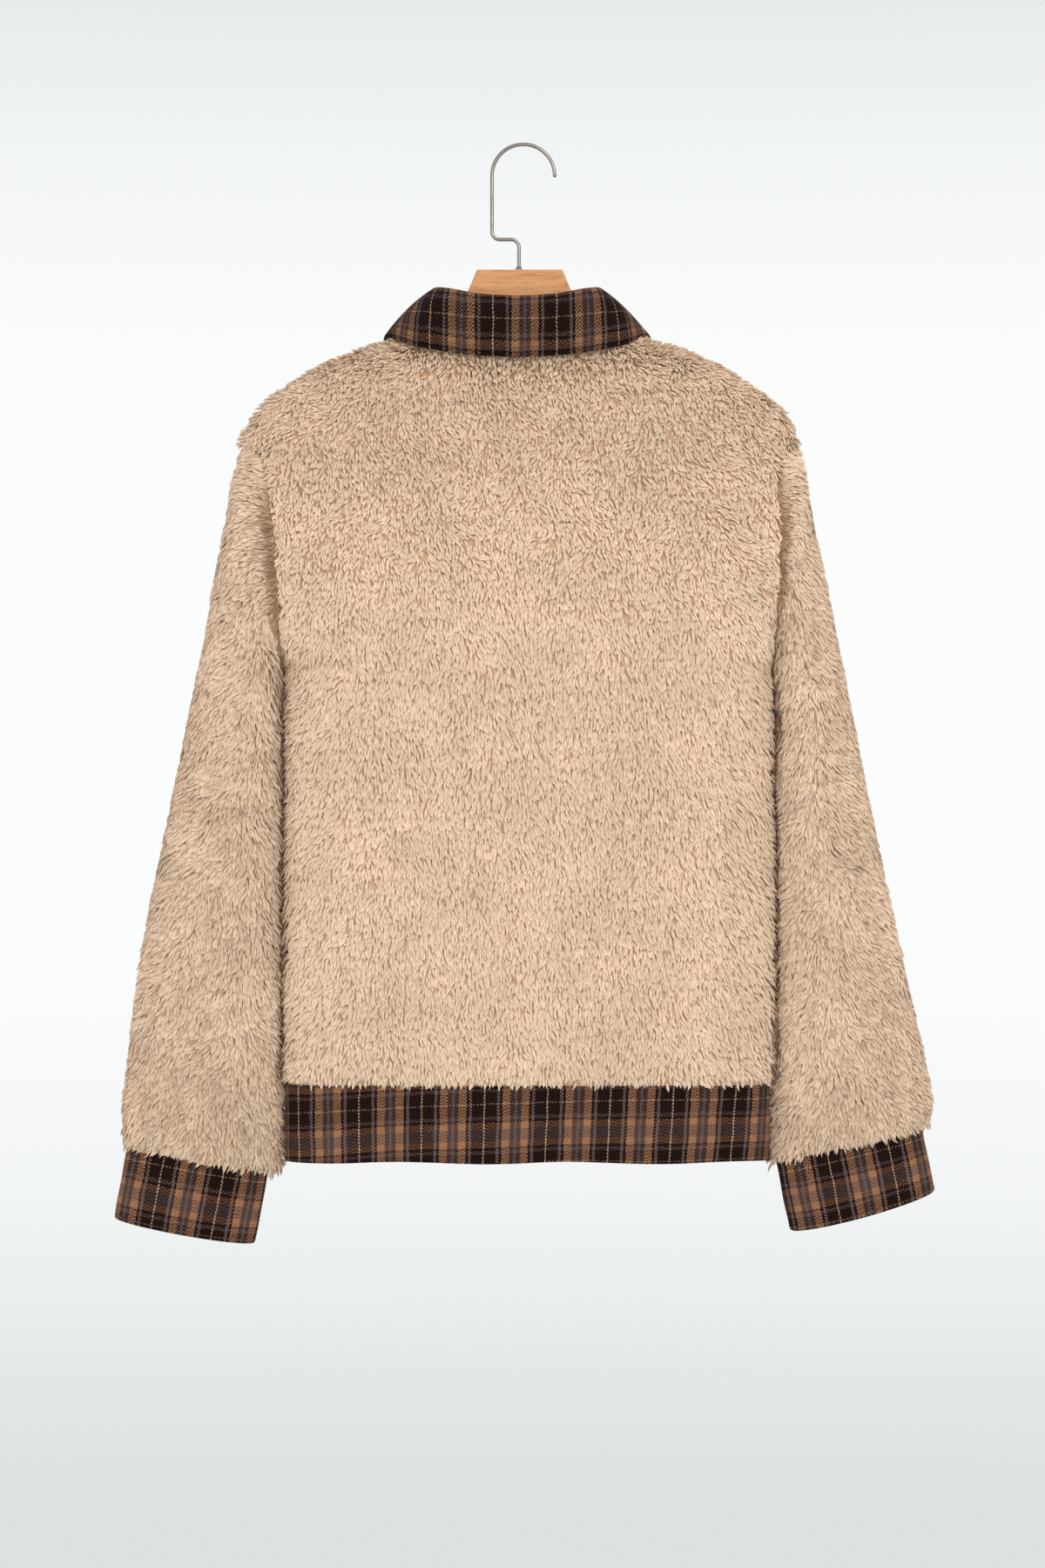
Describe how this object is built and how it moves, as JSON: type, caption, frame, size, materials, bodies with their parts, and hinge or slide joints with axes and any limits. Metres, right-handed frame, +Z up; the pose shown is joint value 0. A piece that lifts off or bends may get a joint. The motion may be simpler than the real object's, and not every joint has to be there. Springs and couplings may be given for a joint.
{
  "type": "polo collar sweatshirt on a wooden hanger",
  "caption": "Fleece pullover with a woven polo collar, hem band and cuffs, hung open on a flat wooden hanger with a bent wire hook.",
  "frame": {"origin": "the inside top of the wire hook, where it rests on a rail", "axes": "+Z up; the garment's front faces +Y and its back faces -Y; the wearer's left sleeve is on -X and the right sleeve on +X"},
  "size_m": [0.6794, 0.0793, 0.9106],
  "materials": {
    "fleece": "long-pile beige teddy fleece, soft and matt",
    "plaid": "brushed wool in a dark brown, tan and grey herringbone plaid",
    "beech": "clear satin lacquer on beech",
    "steel": "satin nickel-plated wire"
  },
  "bodies": {
    "root": {"back": "fleece", "front": "fleece", "sleeve_left": "fleece", "sleeve_right": "fleece", "collar_leaf": "plaid", "collar_under": "plaid", "collar_stand": "plaid", "hem_band": "plaid", "cuff_left": "plaid", "cuff_right": "plaid", "hanger_wood": "beech", "hanger_ferrule": "steel", "hanger_hook": "steel"}
  },
  "joints": []
}
